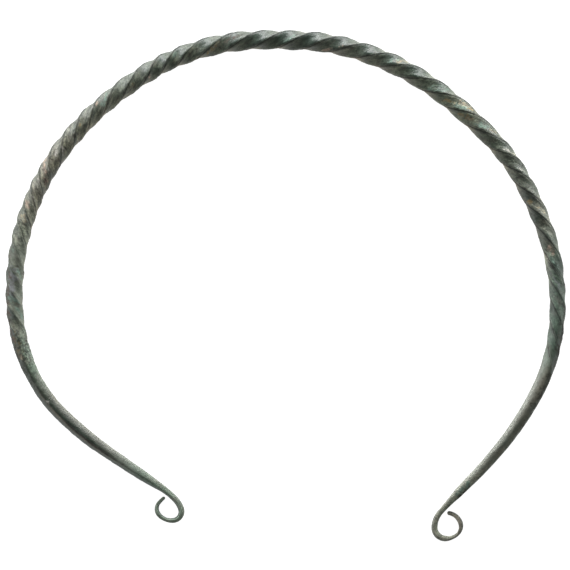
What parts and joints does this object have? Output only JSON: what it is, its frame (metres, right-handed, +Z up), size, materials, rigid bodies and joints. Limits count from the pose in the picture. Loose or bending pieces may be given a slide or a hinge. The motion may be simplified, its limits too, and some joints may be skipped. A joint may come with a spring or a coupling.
{
  "type": "bronze torc",
  "caption": "Open neck ring: a soft-edged square bronze bar, twisted and bent to a hoop, its plain tapering ends rolled outwards into small open eyelets.",
  "frame": {"origin": "on the floor under the middle of the ring's outer box, as it lies flat", "axes": "+X across the ring's widest part, +Y from the open mouth towards the crown, +Z up out of the ring's plane"},
  "size_m": [0.1712, 0.1562, 0.0061],
  "materials": {
    "bronze_patina": "satin dark green-grey patina on bronze, with ochre, brown and pale green patches"
  },
  "bodies": {
    "root": {"torc": "bronze_patina"}
  },
  "joints": []
}
